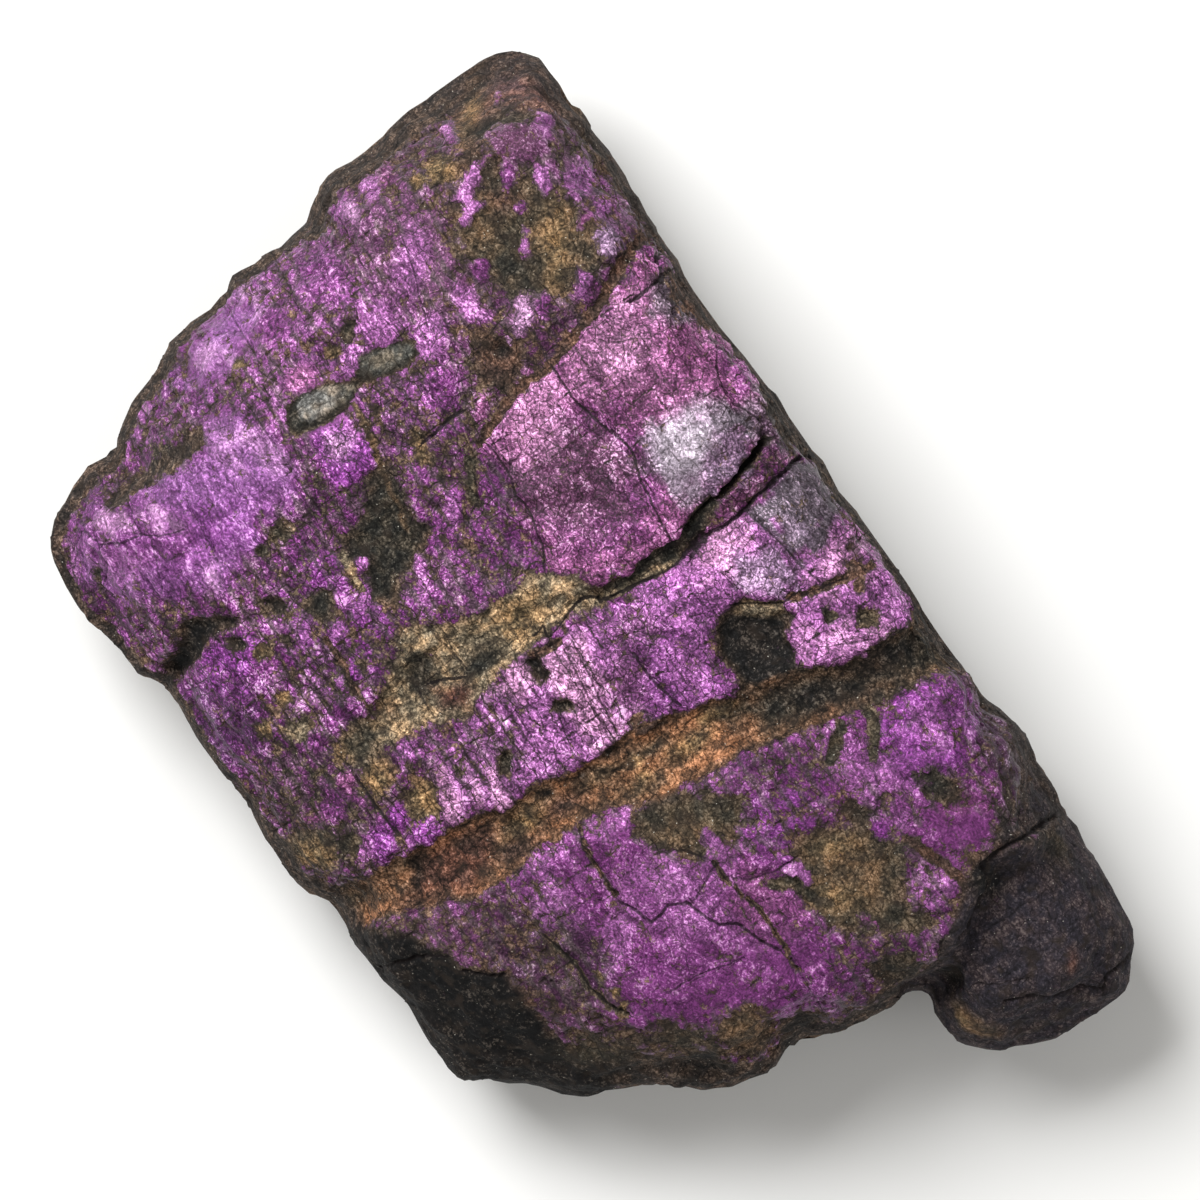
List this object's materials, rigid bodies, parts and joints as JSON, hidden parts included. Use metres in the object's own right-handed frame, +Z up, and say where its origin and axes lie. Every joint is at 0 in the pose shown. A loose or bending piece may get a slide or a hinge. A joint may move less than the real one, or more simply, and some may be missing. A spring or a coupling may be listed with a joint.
{
  "type": "rough purpurite specimen",
  "caption": "Rough slab of purpurite: satin purple cleavage face in a dark matrix, crossed by rust and beige veins, resting on a small flat spot.",
  "frame": {"origin": "on the flat spot, under the middle of the stone's box", "axes": "+X along the slab's long side, +Y across it, +Z up out of the purple face"},
  "size_m": [0.079, 0.0496, 0.0266],
  "materials": {
    "purpurite": "satin cleavage, uneven"
  },
  "bodies": {
    "root": {"purpurite": "purpurite"}
  },
  "joints": []
}
